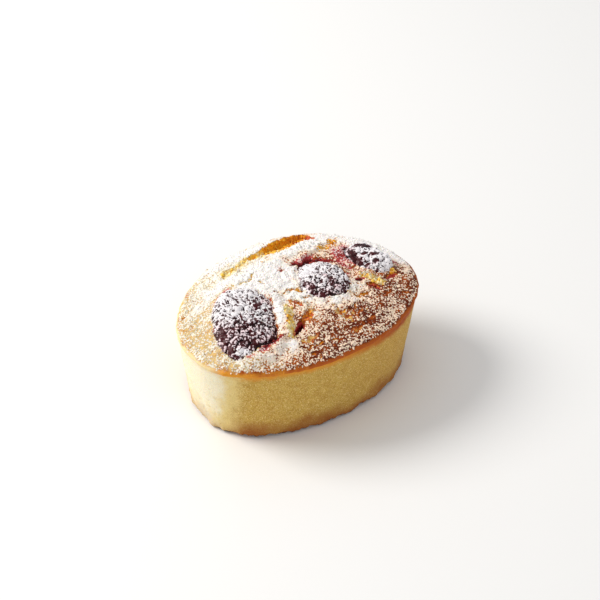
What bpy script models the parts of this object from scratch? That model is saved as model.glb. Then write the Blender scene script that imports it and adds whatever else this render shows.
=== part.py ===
"""An oval almond cake with three dark berries baked into its cracked top.

The cake stands on its flat base. Its long axis lies along X, its height along Z, and the
origin is on the base, under the middle of the rim. All sizes are in metres.
"""

import math

import bmesh
import bpy
from mathutils import Matrix, Vector, noise

# Cake body
HALF_LENGTH = 0.0400        # middle to rim along X, before the oval's own unevenness
HALF_WIDTH = 0.0300         # middle to rim along Y
RIM_HEIGHT = 0.0300         # base to the edge of the crust
SQUARENESS = 2.35           # power of the oval: 2 is an ellipse, more is boxier
WALL_TAPER = 0.0032         # how far the wall draws in from the crust's edge to the base
BASE_ROUND = 0.0022         # radius between the wall and the base
# The rim's uneven radius: (waves round the rim, cosine share, sine share)
OVAL_WAVES = ((3, -0.012, -0.027), (4, 0.021, 0.0), (5, 0.002, -0.005))
OVAL_WAVES_AT_BASE = 0.5    # how much of that unevenness is left at the base

# Crust
DOME_RISE = 0.0042          # middle of the top above the rim
DOME_POWER = 2.4            # how long the dome stays flat before it falls to the rim
LIP_DROP = 0.0009           # the crust's rounded edge
LIP_START = 0.945           # share of the radius where the crust begins to round over
LIP_HEIGHT = 0.0010         # thickness of the crust's edge where it stands over the wall
LIP_OVERHANG = 0.0002       # how far it stands over the wall
RIPPLE = 0.0005             # height of the crust's soft unevenness
RIPPLE_SIZE = 0.0085        # and its width

# The long arc where the crust tore behind the berries, as turns round the oval in degrees.
# Its outer side is a steep wall, and its inner side a long slope. The lists run from its
# right end to its left end: the outer edge as a share of the radius, the width and the depth
TEAR_FROM = 51.0
TEAR_TO = 117.0
TEAR_REACHES = (0.85, 0.94, 0.945, 0.93, 0.86, 0.80, 0.79, 0.755, 0.79, 0.74)
TEAR_WIDTHS = (0.0005, 0.0026, 0.0050, 0.0066, 0.0046, 0.0026, 0.0018, 0.0018, 0.0028, 0.0006)
TEAR_DEPTHS = (0.0004, 0.0020, 0.0026, 0.0028, 0.0026, 0.0020, 0.0014, 0.0012, 0.0012, 0.0004)
TEAR_WALL = 0.0013          # how far in the wall is spread
TEAR_SLOPE = 0.0020         # how much wider the slope is than the torn crumb
TEAR_FLOOR = 0.35           # share of the width that lies at the full depth

# Swellings of the crust: x, y, half length, half width, heading in degrees, height
SWELLINGS = (
    (0.0060, 0.0150, 0.0150, 0.0050, -8.0, 0.0016),     # between the tear and the berries
    (-0.0118, -0.0105, 0.0075, 0.0015, 62.0, 0.0018),   # the flake beside the left berry
    (0.0030, -0.0150, 0.0100, 0.0050, 10.0, 0.0005),    # the soft front
)
# Pits, where the crumb shows, in the same terms, with the depth last
PITS = (
    (-0.0062, -0.0132, 0.0056, 0.0027, 38.0, 0.0032),
    (0.0208, -0.0098, 0.0034, 0.0018, -60.0, 0.0022),
    (0.0312, -0.0108, 0.0034, 0.0018, 15.0, 0.0018),
)

# Mesh of the cake
TOP_CELLS_LONG = 50
TOP_CELLS_WIDE = 40
WALL_ROWS = 4
BASE_ROUND_ROWS = 3

# Berries
DRUPELET_SPACING = 0.0030   # between the tips of neighbouring drupelets
DRUPELET_RELIEF = 0.0010    # tip above the crease round it
BERRY_SQUARENESS = 2.4
POCKET_CLEARANCE = 0.0007   # from the drupelets' tips to the cake
GOLDEN_ANGLE = math.pi * (3.0 - math.sqrt(5.0))
AXIS_STEPS = 200            # steps used to share a berry's surface out evenly

# Each berry: middle, half length, half width, half height, heading of its long axis from
# X, and its lean about that axis and across it, all angles in degrees
BERRIES = {
    "berry_left": {
        "middle": (-0.0212, -0.0034, 0.0304),
        "half_sizes": (0.0163, 0.0104, 0.0056),
        "heading": 60.0,
        "roll": 10.0,
        "pitch": -4.0,
    },
    "berry_middle": {
        "middle": (0.0092, -0.0010, 0.0312),
        "half_sizes": (0.0102, 0.0085, 0.0052),
        "heading": 76.0,
        "roll": -4.0,
        "pitch": 6.0,
    },
    "berry_back": {
        "middle": (0.0290, 0.0004, 0.0300),
        "half_sizes": (0.0092, 0.0060, 0.0048),
        "heading": 98.0,
        "roll": -12.0,
        "pitch": 0.0,
    },
}

# Colours, linear
CRUST_COLOUR = (0.62, 0.36, 0.13, 1.0)
BERRY_COLOUR = (0.045, 0.008, 0.022, 1.0)


def signed_power(value, power):
    """Raise a number's size to a power and keep its sign."""
    return math.copysign(abs(value) ** power, value)


def oval_point(turn, inset, height):
    """A point of the cake's side at a turn round the oval, drawn in by an inset."""
    share = OVAL_WAVES_AT_BASE + (1.0 - OVAL_WAVES_AT_BASE) * height / RIM_HEIGHT
    radius = 1.0
    for waves, cosine, sine in OVAL_WAVES:
        radius += share * (cosine * math.cos(waves * turn) + sine * math.sin(waves * turn))
    x = radius * (HALF_LENGTH - inset) * signed_power(math.cos(turn), 2.0 / SQUARENESS)
    y = radius * (HALF_WIDTH - inset) * signed_power(math.sin(turn), 2.0 / SQUARENESS)
    return Vector((x, y, height))


def turn_at(point, inset):
    """The turn round the oval at which a point of its side lies."""
    x = signed_power(point.x / (HALF_LENGTH - inset), SQUARENESS / 2.0)
    y = signed_power(point.y / (HALF_WIDTH - inset), SQUARENESS / 2.0)
    return math.atan2(y, x)


def square_to_oval(u, v):
    """Turn a place on a square, from -1 to 1 each way, into a turn and a reach."""
    reach = max(abs(u), abs(v))
    if reach == 0.0:
        return 0.0, 0.0
    if abs(u) >= abs(v):
        turn = math.pi / 4.0 * v / u
        if u < 0.0:
            turn += math.pi
    else:
        turn = math.pi / 2.0 - math.pi / 4.0 * u / v
        if v < 0.0:
            turn += math.pi
    return turn, reach


def bell(x, y, spot):
    """A smooth mound of height 1 over a spot: x, y, half length, half width, heading."""
    middle_x, middle_y, half_length, half_width, heading = spot
    angle = math.radians(heading)
    along = (x - middle_x) * math.cos(angle) + (y - middle_y) * math.sin(angle)
    across = (y - middle_y) * math.cos(angle) - (x - middle_x) * math.sin(angle)
    return math.exp(-((along / half_length) ** 2) - (across / half_width) ** 2)


def between(values, share):
    """Read evenly spaced values at a share of their length."""
    place = share * (len(values) - 1)
    start = min(int(place), len(values) - 2)
    blend = place - start
    return values[start] * (1.0 - blend) + values[start + 1] * blend


def limit(value):
    """Keep a number from 0 to 1."""
    return min(1.0, max(0.0, value))


def tear_depth(turn, reach):
    """How deep the arc-shaped tear is at a place on the crust."""
    degrees = math.degrees(turn)
    if not TEAR_FROM < degrees < TEAR_TO:
        return 0.0
    share = (degrees - TEAR_FROM) / (TEAR_TO - TEAR_FROM)
    inward = (between(TEAR_REACHES, share) - reach) * HALF_WIDTH
    width = between(TEAR_WIDTHS, share)
    wall = limit(inward / TEAR_WALL)
    slope = limit((width + TEAR_SLOPE - inward) / (width * (1.0 - TEAR_FLOOR) + TEAR_SLOPE))
    return between(TEAR_DEPTHS, share) * wall * slope


def crust_height(x, y, turn, reach):
    """Height of the crust over the base at a place on the top."""
    height = RIM_HEIGHT + DOME_RISE * (1.0 - reach ** DOME_POWER)
    if reach > LIP_START:
        height -= LIP_DROP * ((reach - LIP_START) / (1.0 - LIP_START)) ** 2
    for *spot, rise in SWELLINGS:
        height += rise * bell(x, y, spot)
    for *spot, depth in PITS:
        height -= depth * bell(x, y, spot)
    calm = 1.0 - reach ** 4
    height += RIPPLE * calm * noise.noise(Vector((x, y, 0.0)) / RIPPLE_SIZE)
    return height - tear_depth(turn, reach)


def side_rows():
    """Height and inset of each row of the side, from under the crust's edge to the base."""
    edge = RIM_HEIGHT - LIP_DROP
    under_lip = edge - LIP_HEIGHT
    rows = [(edge - LIP_HEIGHT * 0.5, 0.0001), (under_lip, LIP_OVERHANG)]
    for row in range(1, WALL_ROWS + 1):
        share = row / WALL_ROWS
        height = under_lip + (BASE_ROUND - under_lip) * share
        rows.append((height, LIP_OVERHANG + (WALL_TAPER - LIP_OVERHANG) * share))
    for row in range(1, BASE_ROUND_ROWS + 1):
        angle = math.pi / 2.0 * row / BASE_ROUND_ROWS
        height = BASE_ROUND * (1.0 - math.sin(angle))
        rows.append((height, WALL_TAPER + BASE_ROUND * (1.0 - math.cos(angle))))
    return rows


def split_corners(bm):
    """Split a square grid's corner faces from the corner inwards, as the corner will lie on the rim."""
    for corner in [vert for vert in bm.verts if len(vert.link_faces) == 1]:
        face = corner.link_faces[0]
        inner = max(face.verts, key=lambda vert: (vert.co - corner.co).length)
        bmesh.ops.connect_vert_pair(bm, verts=[corner, inner])


def build_cake_mesh():
    """The whole cake as one closed body, with its tear, swellings and pits."""
    bm = bmesh.new()
    bmesh.ops.create_grid(
        bm, x_segments=TOP_CELLS_LONG, y_segments=TOP_CELLS_WIDE, size=1.0
    )
    split_corners(bm)
    for vert in bm.verts:
        turn, reach = square_to_oval(vert.co.x, vert.co.y)
        place = oval_point(turn, 0.0, RIM_HEIGHT) * reach
        place.z = crust_height(place.x, place.y, turn, reach)
        vert.co = place
    # The side grows down from the rim, one row of faces at a time
    edges = [edge for edge in bm.edges if edge.is_boundary]
    last_inset = 0.0
    for height, inset in side_rows():
        grown = bmesh.ops.extrude_edge_only(bm, edges=edges)["geom"]
        for vert in grown:
            if isinstance(vert, bmesh.types.BMVert):
                vert.co = oval_point(turn_at(vert.co, last_inset), inset, height)
        edges = [edge for edge in grown if isinstance(edge, bmesh.types.BMEdge)]
        last_inset = inset
    bmesh.ops.contextual_create(bm, geom=edges)
    bmesh.ops.recalc_face_normals(bm, faces=bm.faces)
    mesh = bpy.data.meshes.new("cake")
    bm.to_mesh(mesh)
    bm.free()
    return mesh


def rim_middle():
    """The middle of the rim's length and width, which the oval's waves shift."""
    rim = [oval_point(math.radians(degrees), 0.0, RIM_HEIGHT) for degrees in range(360)]
    xs = [point.x for point in rim]
    ys = [point.y for point in rim]
    return Vector(((min(xs) + max(xs)) / 2.0, (min(ys) + max(ys)) / 2.0, 0.0))


def boxy(direction, half_sizes):
    """A point on a rounded, slightly boxy egg, in a direction from its middle."""
    total = sum(abs(part) ** BERRY_SQUARENESS for part in direction)
    scale = total ** (-1.0 / BERRY_SQUARENESS)
    return Vector(part * scale * half for part, half in zip(direction, half_sizes))


def surface_area(half_sizes):
    """Area of an egg with these half sizes, by Thomsen's rule."""
    power = 1.6075
    a, b, c = (half ** power for half in half_sizes)
    return 4.0 * math.pi * ((a * b + a * c + b * c) / 3.0) ** (1.0 / power)


def drupelet_directions(half_sizes):
    """Directions of the drupelets: an even spiral round the berry's long axis."""
    count = round(surface_area(half_sizes) / (0.866 * DRUPELET_SPACING ** 2))
    half_length = half_sizes[0]
    half_girth = (half_sizes[1] + half_sizes[2]) / 2.0
    # Running area along the axis, so that the drupelets don't crowd at the ends
    angles = [math.pi * (step + 0.5) / AXIS_STEPS for step in range(AXIS_STEPS)]
    bands = [
        math.sin(a) * math.hypot(half_length * math.sin(a), half_girth * math.cos(a))
        for a in angles
    ]
    total = sum(bands)
    directions = []
    running = 0.0
    for angle, band in zip(angles, bands):
        running += band
        while len(directions) < count and running >= (len(directions) + 0.5) / count * total:
            swing = GOLDEN_ANGLE * len(directions)
            ring = math.sin(angle)
            directions.append(
                Vector((math.cos(angle), ring * math.cos(swing), ring * math.sin(swing)))
            )
    return directions


def build_berry_mesh(name, half_sizes):
    """A berry: drupelet tips joined into a net, with the creases between them pushed in."""
    bm = bmesh.new()
    tips = [bm.verts.new(direction) for direction in drupelet_directions(half_sizes)]
    bmesh.ops.convex_hull(bm, input=tips)
    net = list(bm.edges)
    hollows = bmesh.ops.poke(bm, faces=bm.faces)["verts"]
    split = bmesh.ops.subdivide_edges(bm, edges=net, cuts=1)["geom_inner"]
    saddles = {item for item in split if isinstance(item, bmesh.types.BMVert)}
    hollows = set(hollows)
    smallest = min(half_sizes)
    for vert in bm.verts:
        sunk = 0.0
        if vert in hollows:
            sunk = DRUPELET_RELIEF
        elif vert in saddles:
            sunk = DRUPELET_RELIEF * 0.72
        vert.co = boxy(vert.co.normalized(), half_sizes) * (1.0 - sunk / smallest)
    bmesh.ops.recalc_face_normals(bm, faces=bm.faces)
    mesh = bpy.data.meshes.new(name)
    bm.to_mesh(mesh)
    bm.free()
    return mesh


def build_pocket_mesh(name, half_sizes):
    """The smooth hollow that a berry sits in, a little larger than the berry."""
    bm = bmesh.new()
    bmesh.ops.create_icosphere(bm, subdivisions=3, radius=1.0)
    roomy = [half + POCKET_CLEARANCE for half in half_sizes]
    for vert in bm.verts:
        vert.co = boxy(vert.co.normalized(), roomy)
    mesh = bpy.data.meshes.new(name)
    bm.to_mesh(mesh)
    bm.free()
    return mesh


def make_material(name, colour, roughness):
    """A plain surface in one colour."""
    material = bpy.data.materials.new(name)
    material.use_nodes = True
    shader = material.node_tree.nodes["Principled BSDF"]
    shader.inputs["Base Color"].default_value = colour
    shader.inputs["Roughness"].default_value = roughness
    shader.inputs["Metallic"].default_value = 0.0
    return material


def place_object(name, mesh, placing):
    """Put a mesh into the scene at a place."""
    thing = bpy.data.objects.new(name, mesh)
    thing.matrix_world = placing
    bpy.context.scene.collection.objects.link(thing)
    return thing


def berry_placing(berry, shift):
    """Where a berry lies: turned to its heading, leaned over, and set into the top."""
    heading = Matrix.Rotation(math.radians(berry["heading"]), 4, "Z")
    pitch = Matrix.Rotation(math.radians(berry["pitch"]), 4, "Y")
    roll = Matrix.Rotation(math.radians(berry["roll"]), 4, "X")
    return Matrix.Translation(Vector(berry["middle"]) - shift) @ heading @ pitch @ roll


def cut_pocket(cake, pocket):
    """Take the pocket's shape out of the cake."""
    pocket.hide_render = True
    pocket.display_type = "WIRE"
    cut = cake.modifiers.new(pocket.name, "BOOLEAN")
    cut.operation = "DIFFERENCE"
    cut.solver = "EXACT"
    cut.object = pocket


def main():
    for old in list(bpy.data.objects):
        bpy.data.objects.remove(old)

    shift = rim_middle()
    cake = place_object("cake", build_cake_mesh(), Matrix.Translation(-shift))
    cake.data.materials.append(make_material("crust", CRUST_COLOUR, 0.8))
    cake.data.set_sharp_from_angle(angle=math.radians(50.0))

    berry_material = make_material("berry", BERRY_COLOUR, 0.45)
    for name, berry in BERRIES.items():
        placing = berry_placing(berry, shift)
        mesh = build_berry_mesh(name, berry["half_sizes"])
        mesh.materials.append(berry_material)
        mesh.shade_smooth()
        place_object(name, mesh, placing)
        pocket_mesh = build_pocket_mesh(name + "_pocket", berry["half_sizes"])
        cut_pocket(cake, place_object(name + "_pocket", pocket_mesh, placing))


main()
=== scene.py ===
# %% [markdown]
# # An oval almond cake with dark berries
# This is a small cake baked in an oval tin: a pale golden side, a browned and cracked crust, three
# dark berries sunk into it, and a dusting of icing sugar. The plain solids of the cake and of the
# berries come from the frame. This script builds their looks around them: finely modelled
# surfaces in the same places, the loose sugar and crumbs, the materials, the light and the camera.

import math
import random

import bmesh
import bpy
from mathutils import Matrix, Vector, kdtree, noise


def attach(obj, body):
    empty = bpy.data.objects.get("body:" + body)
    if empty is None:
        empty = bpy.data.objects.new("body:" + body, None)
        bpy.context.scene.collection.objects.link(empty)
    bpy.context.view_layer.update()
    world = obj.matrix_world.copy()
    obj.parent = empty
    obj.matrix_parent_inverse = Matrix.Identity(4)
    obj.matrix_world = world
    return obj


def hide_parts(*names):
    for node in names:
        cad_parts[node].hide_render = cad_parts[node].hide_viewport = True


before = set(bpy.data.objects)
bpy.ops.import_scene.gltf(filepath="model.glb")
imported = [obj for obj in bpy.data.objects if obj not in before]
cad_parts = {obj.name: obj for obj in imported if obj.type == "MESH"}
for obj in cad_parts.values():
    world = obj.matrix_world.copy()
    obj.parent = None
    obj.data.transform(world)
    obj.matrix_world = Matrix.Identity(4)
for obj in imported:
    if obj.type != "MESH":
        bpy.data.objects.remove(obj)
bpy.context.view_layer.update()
MM = 0.001

# %% [markdown]
# ## The sizes of the cake
# A model stays true to its solid by using the same driving sizes. The oval is a superellipse,
# which is an ellipse with a power a little above 2, and three slow waves make it as uneven as a
# tin-baked cake is. The solid is centred on its rim, so the middle of the rim is taken off
# every place that is worked out in the oval's own terms.

# %% The oval and its sizes
HALF_LENGTH = 40.0 * MM
HALF_WIDTH = 30.0 * MM
RIM_HEIGHT = 30.0 * MM
SQUARENESS = 2.35
WALL_TAPER = 3.2 * MM
BASE_ROUND = 2.2 * MM
OVAL_WAVES = ((3, -0.012, -0.027), (4, 0.021, 0.0), (5, 0.002, -0.005))
OVAL_WAVES_AT_BASE = 0.5
LIP_DROP = 0.9 * MM
LIP_START = 0.945
LIP_HEIGHT = 1.0 * MM
LIP_OVERHANG = 0.2 * MM


def signed_power(value, power):
    """Raise a number's size to a power and keep its sign."""
    return math.copysign(abs(value) ** power, value)


def oval_point(turn, inset, height):
    """A point of the cake's side at a turn round the oval, drawn in by an inset."""
    share = OVAL_WAVES_AT_BASE + (1.0 - OVAL_WAVES_AT_BASE) * height / RIM_HEIGHT
    radius = 1.0
    for waves, cosine, sine in OVAL_WAVES:
        radius += share * (cosine * math.cos(waves * turn) + sine * math.sin(waves * turn))
    x = radius * (HALF_LENGTH - inset) * signed_power(math.cos(turn), 2.0 / SQUARENESS)
    y = radius * (HALF_WIDTH - inset) * signed_power(math.sin(turn), 2.0 / SQUARENESS)
    return Vector((x, y, height))


def turn_at(point, inset):
    """The turn round the oval at which a point of its side lies."""
    x = signed_power(point.x / (HALF_LENGTH - inset), SQUARENESS / 2.0)
    y = signed_power(point.y / (HALF_WIDTH - inset), SQUARENESS / 2.0)
    return math.atan2(y, x)


def rim_middle():
    """The middle of the rim's length and width."""
    rim = [oval_point(math.radians(degrees), 0.0, RIM_HEIGHT) for degrees in range(360)]
    xs = [point.x for point in rim]
    ys = [point.y for point in rim]
    return Vector(((min(xs) + max(xs)) / 2.0, (min(ys) + max(ys)) / 2.0, 0.0))


MIDDLE = rim_middle()
print("middle of the rim, mm:", [round(part / MM, 2) for part in MIDDLE])

# %% [markdown]
# ## The camera
# The photograph looks down on the cake from in front of its left end, with a long lens from about
# half a metre. A camera is placed by where it stands and what it looks at: it is turned, not
# shifted, so that other views of the same camera stay centred.

# %% The camera
IMAGE_SIDE = 600
VIEW_AZIMUTH = math.radians(-36.1)
VIEW_ELEVATION = math.radians(40.4)
VIEW_DISTANCE = 500.0 * MM
PIXELS_PER_METRE = 3118.0
SIGHT_PIXEL = Vector((295.9, 334.7))
SENSOR_WIDTH = 36.0
CLIP_START = 10.0 * MM


def add_object(name, data):
    """Put a mesh, a camera or a lamp into the scene as a named object."""
    thing = bpy.data.objects.new(name, data)
    bpy.context.scene.collection.objects.link(thing)
    return thing


def direction(azimuth, elevation):
    """The way from the cake to a camera or lamp; azimuth 0 is in front, 90 to the right."""
    return Vector(
        (
            math.sin(azimuth) * math.cos(elevation),
            -math.cos(azimuth) * math.cos(elevation),
            math.sin(elevation),
        )
    )


def aim(thing, position, target):
    """Stand a camera or lamp at a position and turn it to a target, level."""
    thing.location = position
    thing.rotation_mode = "QUATERNION"
    thing.rotation_quaternion = (target - position).to_track_quat("-Z", "Y")


sight = Vector((0.0, 0.0, RIM_HEIGHT / 2.0)) - MIDDLE
back = direction(VIEW_AZIMUTH, VIEW_ELEVATION)
right = Vector((math.cos(VIEW_AZIMUTH), math.sin(VIEW_AZIMUTH), 0.0))
up = back.cross(right)
image_middle = IMAGE_SIDE / 2.0
aside = right * (image_middle - SIGHT_PIXEL.x) / PIXELS_PER_METRE
above = up * (SIGHT_PIXEL.y - image_middle) / PIXELS_PER_METRE

camera = add_object("camera", bpy.data.cameras.new("camera"))
camera.data.sensor_width = SENSOR_WIDTH
camera.data.lens = PIXELS_PER_METRE * VIEW_DISTANCE / IMAGE_SIDE * SENSOR_WIDTH
camera.data.clip_start = CLIP_START
aim(camera, sight + back * VIEW_DISTANCE, sight + aside + above)
bpy.context.scene.camera = camera
print("lens, mm:", round(camera.data.lens, 1))

# %% [markdown]
# ## The berries' places
# Each berry is a slightly boxy egg, lying in the top of the cake. The crust around it depends on
# where it is, so the berries' sizes come before the crust. A matrix holds the whole placing: first
# the roll, then the pitch, then the heading, then the move.

# %% The berries' sizes and places
BERRY_SQUARENESS = 2.4
BERRIES = {
    "berry_left": {
        "piece": "left_berry",
        "middle": (-21.2, -3.4, 30.4),
        "half_sizes": (16.3, 10.4, 5.6),
        "heading": 60.0,
        "roll": 10.0,
        "pitch": -4.0,
    },
    "berry_middle": {
        "piece": "middle_berry",
        "middle": (9.2, -1.0, 31.2),
        "half_sizes": (10.2, 8.5, 5.2),
        "heading": 76.0,
        "roll": -4.0,
        "pitch": 6.0,
    },
    "berry_back": {
        "piece": "back_berry",
        "middle": (29.0, 0.4, 30.0),
        "half_sizes": (9.2, 6.0, 4.8),
        "heading": 98.0,
        "roll": -12.0,
        "pitch": 0.0,
    },
}


def berry_placing(berry):
    """Where a berry lies: turned to its heading, leaned over, and set into the top."""
    heading = Matrix.Rotation(math.radians(berry["heading"]), 4, "Z")
    pitch = Matrix.Rotation(math.radians(berry["pitch"]), 4, "Y")
    roll = Matrix.Rotation(math.radians(berry["roll"]), 4, "X")
    place = Vector(berry["middle"]) * MM
    return Matrix.Translation(place) @ heading @ pitch @ roll


def berry_nearness(x, y):
    """How near a place in millimetres is to the closest berry: 1 is on its outline, less is inside."""
    closest = math.inf
    for berry in BERRIES.values():
        angle = math.radians(berry["heading"])
        dx = x - berry["middle"][0]
        dy = y - berry["middle"][1]
        along = (dx * math.cos(angle) + dy * math.sin(angle)) / berry["half_sizes"][0]
        across = (dy * math.cos(angle) - dx * math.sin(angle)) / berry["half_sizes"][1]
        total = abs(along) ** BERRY_SQUARENESS + abs(across) ** BERRY_SQUARENESS
        closest = min(closest, total ** (1.0 / BERRY_SQUARENESS))
    return closest


# %% [markdown]
# ## The lie of the crust
# The top of a baked cake is a landscape, and the simplest way to model a landscape is a function
# that gives its height at any place. The height is a sum of parts that can each be understood and
# changed: the low dome, soft ripples, swellings, the long tear where the crust split as it
# rose, thin cracks, pits, and the beds that the berries sank into. All places are in
# millimetres from the oval's own middle.

# %% Helpers for the landscape
BELL_REACH = 4.0


def smooth(value, low, high):
    """0 at low, 1 at high, with a soft start and end. Low may be the larger number."""
    share = min(1.0, max(0.0, (value - low) / (high - low)))
    return share * share * (3.0 - 2.0 * share)


def rough(x, y, size, layers=3, seed=0.0):
    """Uneven values, mostly from -0.5 to 0.5, in lumps of about a size in millimetres."""
    return noise.fractal(Vector((x / size, y / size, seed)), 1.0, 2.0, layers)


def bell(x, y, spot):
    """A smooth mound of height 1 over a spot: x, y, half length, half width, heading."""
    middle_x, middle_y, half_length, half_width, heading = spot
    if abs(x - middle_x) + abs(y - middle_y) > BELL_REACH * max(half_length, half_width):
        return 0.0
    angle = math.radians(heading)
    along = (x - middle_x) * math.cos(angle) + (y - middle_y) * math.sin(angle)
    across = (y - middle_y) * math.cos(angle) - (x - middle_x) * math.sin(angle)
    return math.exp(-((along / half_length) ** 2) - (across / half_width) ** 2)


def heaped(x, y, spots, start):
    """A start value with mounds heaped on it, each as high as the last number of its spot."""
    for *spot, height in spots:
        start += height * bell(x, y, spot)
    return start


def strongest(x, y, spots):
    """The highest of the mounds here, each as high as the last number of its spot."""
    return max(0.0, *(height * bell(x, y, spot) for *spot, height in spots))


def between(values, share):
    """Read a smooth curve through evenly spaced values, at a share of its length."""
    place = min(max(share, 0.0), 1.0) * (len(values) - 1)
    start = min(int(place), len(values) - 2)
    blend = smooth(place - start, 0.0, 1.0)
    return values[start] * (1.0 - blend) + values[start + 1] * blend


def line_reach(x, y, points):
    """Distance to a line, the share of the line at the nearest place, and if it lies to the left."""
    nearest, share, on_left = math.inf, 0.0, False
    for step, (start, end) in enumerate(zip(points, points[1:])):
        dx = end[0] - start[0]
        dy = end[1] - start[1]
        part = ((x - start[0]) * dx + (y - start[1]) * dy) / (dx * dx + dy * dy)
        part = min(1.0, max(0.0, part))
        distance = math.hypot(x - start[0] - part * dx, y - start[1] - part * dy)
        if distance < nearest:
            nearest, share = distance, (step + part) / (len(points) - 1)
            on_left = dx * (y - start[1]) > dy * (x - start[0])
    return nearest, share, on_left


# %% [markdown]
# The tear runs round the back left of the crust, a little inside the rim. Its outer side is a
# steep wall of bare crumb, and its inner side is a long slope of broken, sugared crust. Where
# its outer edge lies, its widths and its depths are short lists, read as smooth curves from its
# right end to its left end.

# %% The tear
TEAR_FROM = 51.0
TEAR_TO = 117.0
TEAR_REACHES = (0.85, 0.94, 0.945, 0.93, 0.86, 0.80, 0.79, 0.755, 0.79, 0.74)
TEAR_WIDTHS = (0.5, 3.0, 6.4, 8.6, 6.2, 3.4, 1.8, 2.3, 3.2, 1.0)
TEAR_DEPTHS = (0.4, 2.0, 2.6, 2.8, 2.6, 2.0, 1.4, 1.2, 1.2, 0.4)
TEAR_WALL = 1.3
TEAR_SLOPE = 2.0
TEAR_FLOOR = 0.35
TEAR_LEAST_REACH = 0.6
TEAR_EDGE_STRAY = 0.6
TEAR_FOOT_STRAY = 1.3


def tear_at(x, y, turn, reach):
    """How bare the tear's crumb is here, its depth, and the shares along it and across it."""
    degrees = math.degrees(turn)
    if not TEAR_FROM < degrees < TEAR_TO or reach < TEAR_LEAST_REACH:
        return 0.0, 0.0, 0.0, 0.0
    share = (degrees - TEAR_FROM) / (TEAR_TO - TEAR_FROM)
    inward = (between(TEAR_REACHES, share) - reach) * HALF_WIDTH / MM
    inward += TEAR_EDGE_STRAY * rough(x, y, 2.2, 4, 4.0)
    width = between(TEAR_WIDTHS, share)
    wall = smooth(inward, 0.0, TEAR_WALL)
    slope = (width + TEAR_SLOPE - inward) / (width * (1.0 - TEAR_FLOOR) + TEAR_SLOPE)
    depth = between(TEAR_DEPTHS, share) * wall * min(1.0, max(0.0, slope))
    ragged = inward + TEAR_FOOT_STRAY * rough(x, y, 1.6, 3, 6.0)
    torn = smooth(inward, 0.0, 0.4) * smooth(ragged, width + 1.3, width + 0.1)
    across = smooth(ragged, TEAR_FLOOR * width, width + 1.0)
    return torn, depth, share, across


# %% [markdown]
# Thin cracks were drawn as a few points each, because their places matter and they follow
# no rule. Each has a half width, a depth, and how far berry juice has soaked it.

# %% The thin cracks
CRACKED_HALF_LENGTH = 26.0
CRACKED_HALF_WIDTH = 28.0
CRACK_STRAY = 0.9
CRACK_LEAST_WIDTH = 0.1
CRACKS = (
    (((-6.4, 2.3), (-4.5, 0.4), (-2.1, 0.7), (-0.8, 0.2), (-0.4, -1.4), (1.0, -3.1)), 0.5, 0.9, 0.3),
    (((-6.7, 10.1), (-7.0, 8.7), (-7.3, 7.4)), 0.5, 0.9, 0.1),
    (((-6.2, -2.3), (-4.8, -4.5), (-4.1, -6.2), (-3.2, -8.1)), 0.7, 1.1, 0.5),
    (((-1.0, -5.0), (1.0, -6.6), (3.4, -7.2), (5.2, -9.4)), 0.4, 0.8, 0.1),
    (((6.7, -9.8), (10.0, -10.2), (12.3, -10.8), (12.6, -12.4)), 0.6, 0.8, 0.0),
    (((13.0, -13.2), (14.3, -13.5), (16.3, -13.3), (18.7, -13.4)), 0.6, 0.7, 0.0),
    (((4.4, -16.0), (6.4, -16.9), (9.1, -17.0), (12.9, -16.2)), 0.5, 0.7, 0.1),
    (((-13.6, -20.7), (-12.2, -22.9), (-8.7, -23.2), (-5.7, -24.2), (-2.6, -24.7)), 0.4, 0.6, 0.0),
    (((5.2, 9.6), (7.4, 8.8), (9.4, 8.6), (11.4, 9.1), (13.4, 8.9), (15.4, 7.7)), 1.7, 1.0, 0.95),
    (((14.4, 8.0), (16.4, 6.4), (18.2, 4.6), (19.4, 2.4)), 1.0, 0.6, 0.8),
    (((0.3, 10.3), (1.4, 9.6), (2.3, 9.8)), 0.9, 0.8, 0.6),
    (((-21.5, -15.9), (-19.0, -15.9), (-16.4, -15.5)), 1.0, 1.0, 1.0),
    (((-13.0, 12.4), (-9.0, 12.6), (-6.0, 14.0)), 0.4, 0.6, 0.0),
)


def cracks_at(x, y):
    """How open a crack is here, its depth, and how soaked it is with juice."""
    opening, depth, juice = 0.0, 0.0, 0.0
    if abs(x) > CRACKED_HALF_LENGTH or abs(y) > CRACKED_HALF_WIDTH:
        return opening, depth, juice
    strayed_x = x + CRACK_STRAY * rough(x, y, 2.2, 3, 7.0)
    strayed_y = y + CRACK_STRAY * rough(x, y, 2.2, 3, 9.0)
    gaps = 0.75 + 0.9 * rough(x, y, 2.6, 2, 61.0)
    for points, half_width, crack_depth, crack_juice in CRACKS:
        distance, share, _ = line_reach(strayed_x, strayed_y, points)
        width = half_width * gaps * (0.3 + 0.7 * math.sin(math.pi * share) ** 0.5)
        width = max(width, CRACK_LEAST_WIDTH)
        here = smooth(distance, width * 1.7, width * 0.3)
        if here > opening:
            opening = here
            depth = here * crack_depth
            juice = crack_juice
    return opening, depth, juice


# %% [markdown]
# In two places the crust broke and one side stands up as a flake, with a face of yellow crumb. The
# line of a flake's crest is drawn so that the broken face lies to its left. On the other
# side it slopes away gently, at the left berry right over the berry's edge.

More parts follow.
